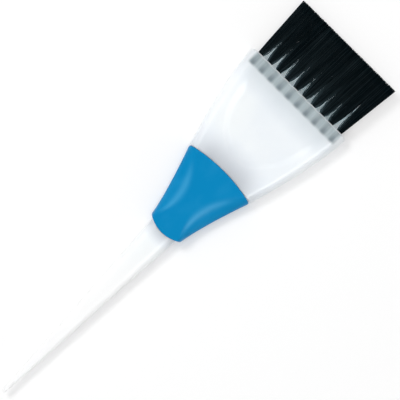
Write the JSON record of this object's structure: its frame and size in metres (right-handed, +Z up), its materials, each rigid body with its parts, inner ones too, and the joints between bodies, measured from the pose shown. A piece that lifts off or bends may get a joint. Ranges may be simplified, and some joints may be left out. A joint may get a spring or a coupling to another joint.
{
  "type": "tint brush",
  "caption": "Flat hair-colour brush with a pointed tail, a soft grip over its neck, a wide dished head and rows of stiff bristle tufts trimmed straight.",
  "frame": {"origin": "middle of the brush's bounding box, on the surface that it lies on", "axes": "+X from the pointed tail to the bristle tips, +Y across the head, +Z up out of the broad face"},
  "size_m": [0.22, 0.0588, 0.009],
  "materials": {
    "handle": "milky white polypropylene, satin and slightly translucent",
    "grip": "soft blue moulding, satin",
    "bristles": "black nylon filament",
    "anchors": "flat stainless wire"
  },
  "bodies": {
    "root": {"handle": "handle", "grip": "grip", "tuft_lower_01": "bristles", "tuft_lower_02": "bristles", "tuft_lower_03": "bristles", "tuft_lower_04": "bristles", "tuft_lower_05": "bristles", "tuft_lower_06": "bristles", "tuft_lower_07": "bristles", "tuft_lower_08": "bristles", "tuft_lower_09": "bristles", "tuft_lower_10": "bristles", "tuft_upper_01": "bristles", "tuft_upper_02": "bristles", "tuft_upper_03": "bristles", "tuft_upper_04": "bristles", "tuft_upper_05": "bristles", "tuft_upper_06": "bristles", "tuft_upper_07": "bristles", "tuft_upper_08": "bristles", "tuft_upper_09": "bristles", "tuft_upper_10": "bristles", "anchor_lower_01": "anchors", "anchor_lower_02": "anchors", "anchor_lower_03": "anchors", "anchor_lower_04": "anchors", "anchor_lower_05": "anchors", "anchor_lower_06": "anchors", "anchor_lower_07": "anchors", "anchor_lower_08": "anchors", "anchor_lower_09": "anchors", "anchor_lower_10": "anchors", "anchor_upper_01": "anchors", "anchor_upper_02": "anchors", "anchor_upper_03": "anchors", "anchor_upper_04": "anchors", "anchor_upper_05": "anchors", "anchor_upper_06": "anchors", "anchor_upper_07": "anchors", "anchor_upper_08": "anchors", "anchor_upper_09": "anchors", "anchor_upper_10": "anchors"}
  },
  "joints": []
}
